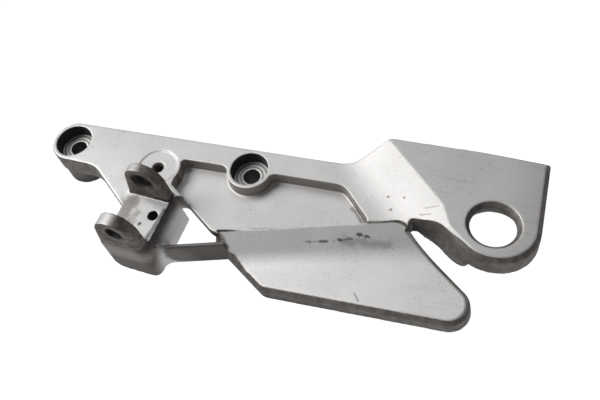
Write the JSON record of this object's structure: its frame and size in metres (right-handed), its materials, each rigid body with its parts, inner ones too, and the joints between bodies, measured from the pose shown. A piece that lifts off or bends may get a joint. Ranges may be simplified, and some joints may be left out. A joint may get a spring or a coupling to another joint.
{
  "type": "motorcycle footrest hanger",
  "caption": "Cast aluminium motorcycle footrest hanger with two bolt bosses, a footrest clevis, a heel guard and a silencer lobe",
  "frame": {"origin": "on the axis of the middle bolt hole, in the plane of the rear faces of the mounting bosses", "axes": "+X runs along the plate from the front bolt towards the silencer lobe, +Z points out of the plate's outer face, away from the motorcycle's frame, and +Y points up from the clevis to the plate's straight edge"},
  "size_m": [0.2667, 0.0889, 0.049],
  "materials": {
    "aluminium": "as-cast with a worn silver coat, bare metal in the bolt seats, oil grime in the corners"
  },
  "bodies": {
    "root": {"hanger": "aluminium"}
  },
  "joints": []
}
